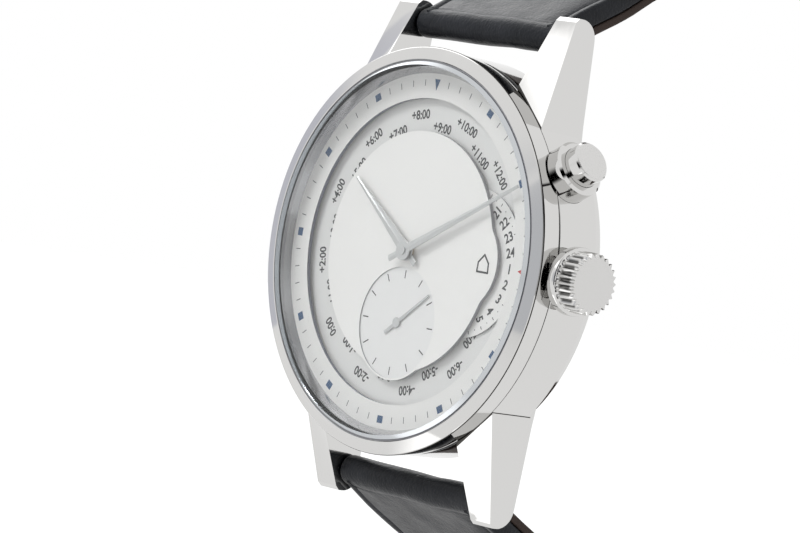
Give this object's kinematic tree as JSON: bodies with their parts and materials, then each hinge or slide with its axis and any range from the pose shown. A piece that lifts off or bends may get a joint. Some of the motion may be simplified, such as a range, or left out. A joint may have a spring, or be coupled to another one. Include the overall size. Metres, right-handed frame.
{
  "type": "world time wristwatch",
  "caption": "Round steel world time wristwatch with a turning place ring, home time disc, small seconds, crown, pusher and a leather strap with a pin buckle.",
  "frame": {"origin": "centre of the case back's outer face, on the dial's axis", "axes": "+X to 3 o'clock, where the crown is; +Z to 12 o'clock; +Y out of the case back, so the dial faces -Y"},
  "size_m": [0.0432, 0.1054, 0.075],
  "materials": {
    "polished_steel": "polished",
    "satin_steel": "fine brushed",
    "sapphire": "clear",
    "dial_silver": "satin silver",
    "flange_silver": "satin silver",
    "hand_metal": "polished",
    "plate_brass": "grained",
    "bridge_metal": "ribbed, plated",
    "wheel_brass": "circular grain",
    "spring_steel": "fine",
    "ruby": "polished",
    "gasket_black": "smooth",
    "gasket_white": "smooth",
    "strap_leather": "smooth, semi matt",
    "lining_leather": "matt"
  },
  "bodies": {
    "case": {"mid_case": "polished_steel", "bezel": "polished_steel", "crystal": "sapphire", "crystal_gasket": "gasket_white", "flange_ring": "flange_silver", "minute_ring": "dial_silver", "centre_dial": "dial_silver", "dial_base": "plate_brass", "main_plate": "plate_brass", "three_quarter_plate": "bridge_metal", "balance_cock": "bridge_metal", "hairspring": "spring_steel", "jewels": "ruby", "plate_screws": "satin_steel", "movement_ring": "plate_brass", "case_clamps": "satin_steel", "clamp_screws": "satin_steel", "rotor_hub": "satin_steel", "case_back": "polished_steel", "back_crystal": "sapphire", "back_gasket": "gasket_black", "crown_tube": "polished_steel", "pusher_tube": "polished_steel", "pusher_spring": "spring_steel", "spring_bar_upper": "satin_steel", "spring_bar_lower": "satin_steel"},
    "minute": {"minute_hand": "hand_metal", "cannon_pinion": "hand_metal"},
    "hour": {"hour_hand": "hand_metal", "hour_wheel": "wheel_brass"},
    "home": {"home_disc": "dial_silver", "home_wheel": "wheel_brass"},
    "place_ring": {"place_ring": "dial_silver"},
    "seconds": {"seconds_hand": "hand_metal", "fourth_wheel": "wheel_brass"},
    "third_wheel": {"third_wheel": "wheel_brass"},
    "centre_wheel": {"centre_wheel": "wheel_brass"},
    "barrel": {"barrel": "wheel_brass"},
    "escape_wheel": {"escape_wheel": "spring_steel"},
    "pallet_fork": {"pallet_fork": "spring_steel"},
    "balance_wheel": {"balance_wheel": "wheel_brass"},
    "rotor": {"rotor": "bridge_metal"},
    "ratchet_wheel": {"ratchet_wheel": "satin_steel"},
    "crown_wheel": {"crown_wheel": "satin_steel"},
    "winding_pinion": {"winding_pinion": "satin_steel"},
    "crown": {"crown": "polished_steel", "winding_stem": "satin_steel", "crown_gasket": "gasket_black"},
    "pusher": {"pusher_button": "polished_steel"},
    "strap_upper": {"strap_upper": "strap_leather", "upper_lining": "lining_leather", "fixed_keeper": "strap_leather", "buckle_bar": "polished_steel"},
    "loose_keeper": {"loose_keeper": "strap_leather"},
    "buckle_frame": {"buckle_frame": "polished_steel"},
    "buckle_tongue": {"buckle_tongue": "polished_steel"},
    "strap_lower": {"strap_lower": "strap_leather", "lower_lining": "lining_leather"}
  },
  "joints": [
    {"name": "minute_turn", "type": "hinge", "parent": "case", "child": "minute", "pos_m": [0, -0.009, 0], "axis": [0, 1, 0], "continuous": true},
    {"name": "hour_turn", "type": "hinge", "parent": "case", "child": "hour", "pos_m": [0, -0.0085, 0], "axis": [0, 1, 0], "continuous": true},
    {"name": "home_turn", "type": "hinge", "parent": "case", "child": "home", "pos_m": [0.00815, -0.008, 0], "axis": [0, 1, 0], "continuous": true},
    {"name": "place_turn", "type": "hinge", "parent": "case", "child": "place_ring", "pos_m": [0, -0.00775, 0], "axis": [0, 1, 0], "continuous": true},
    {"name": "seconds_turn", "type": "hinge", "parent": "case", "child": "seconds", "pos_m": [0, -0.005, -0.007], "axis": [0, 1, 0], "continuous": true},
    {"name": "third_turn", "type": "hinge", "parent": "case", "child": "third_wheel", "pos_m": [0.00203, -0.005, -0.00401], "axis": [0, 1, 0], "continuous": true},
    {"name": "centre_turn", "type": "hinge", "parent": "case", "child": "centre_wheel", "pos_m": [0, -0.005, 0], "axis": [0, 1, 0], "continuous": true},
    {"name": "barrel_turn", "type": "hinge", "parent": "case", "child": "barrel", "pos_m": [0.003, -0.005, 0.00554], "axis": [0, 1, 0], "continuous": true},
    {"name": "escape_turn", "type": "hinge", "parent": "case", "child": "escape_wheel", "pos_m": [-0.00336, -0.005, -0.00759], "axis": [0, 1, 0], "continuous": true},
    {"name": "pallet_swing", "type": "hinge", "parent": "case", "child": "pallet_fork", "pos_m": [-0.00597, -0.005, -0.0063], "axis": [0, 1, 0], "range_deg": [-5, 5]},
    {"name": "balance_swing", "type": "hinge", "parent": "case", "child": "balance_wheel", "pos_m": [-0.0082, -0.0035, -0.0052], "axis": [0, 1, 0], "range_deg": [-270, 270], "stiffness_Nm_per_rad": 0.00000063},
    {"name": "rotor_turn", "type": "hinge", "parent": "case", "child": "rotor", "pos_m": [0, -0.002, 0], "axis": [0, 1, 0], "continuous": true},
    {"name": "crown_spin", "type": "hinge", "parent": "case", "child": "winding_pinion", "pos_m": [0.0078, -0.0062, 0], "axis": [1, 0, 0], "continuous": true},
    {"name": "crown_pull", "type": "slide", "parent": "winding_pinion", "child": "crown", "axis": [1, 0, 0], "range_m": [0, 0.001]},
    {"name": "crown_wheel_turn", "type": "hinge", "parent": "case", "child": "crown_wheel", "pos_m": [0.0096, -0.004, 0], "axis": [0, 1, 0], "continuous": true},
    {"name": "ratchet_turn", "type": "hinge", "parent": "case", "child": "ratchet_wheel", "pos_m": [0.003, -0.003, 0.00554], "axis": [0, 1, 0], "continuous": true},
    {"name": "pusher_press", "type": "slide", "parent": "case", "child": "pusher", "axis": [0.8704, 0, 0.4924], "range_m": [-0.0009, 0], "stiffness_N_per_m": 2000, "springref_m": 0.0008},
    {"name": "strap_upper_turn", "type": "hinge", "parent": "case", "child": "strap_upper", "pos_m": [0, -0.0032, 0.0226], "axis": [1, 0, 0], "range_deg": [-6, 60]},
    {"name": "strap_lower_turn", "type": "hinge", "parent": "case", "child": "strap_lower", "pos_m": [0, -0.0032, -0.0226], "axis": [-1, 0, 0], "range_deg": [-5, 60]},
    {"name": "keeper_slide", "type": "slide", "parent": "strap_upper", "child": "loose_keeper", "axis": [0, -0.9397, 0.342], "range_m": [-0.003, 0.006]},
    {"name": "buckle_swing", "type": "hinge", "parent": "strap_upper", "child": "buckle_frame", "pos_m": [0, 0.076, 0.02504], "axis": [1, 0, 0], "range_deg": [-60, 85]},
    {"name": "tongue_lift", "type": "hinge", "parent": "buckle_frame", "child": "buckle_tongue", "pos_m": [0, 0.076, 0.02504], "axis": [1, 0, 0], "range_deg": [0, 85]}
  ],
  "couplings": [
    {"joint": "hour_turn", "follows": "minute_turn", "ratio": 0.083333},
    {"joint": "home_turn", "follows": "minute_turn", "ratio": -0.041667},
    {"joint": "third_turn", "follows": "seconds_turn", "ratio": -0.13333},
    {"joint": "centre_turn", "follows": "seconds_turn", "ratio": 0.016667},
    {"joint": "barrel_turn", "follows": "seconds_turn", "ratio": -0.0020833},
    {"joint": "escape_turn", "follows": "seconds_turn", "ratio": -12},
    {"joint": "crown_wheel_turn", "follows": "crown_spin", "ratio": 0.31111},
    {"joint": "ratchet_turn", "follows": "crown_spin", "ratio": -0.23333}
  ]
}
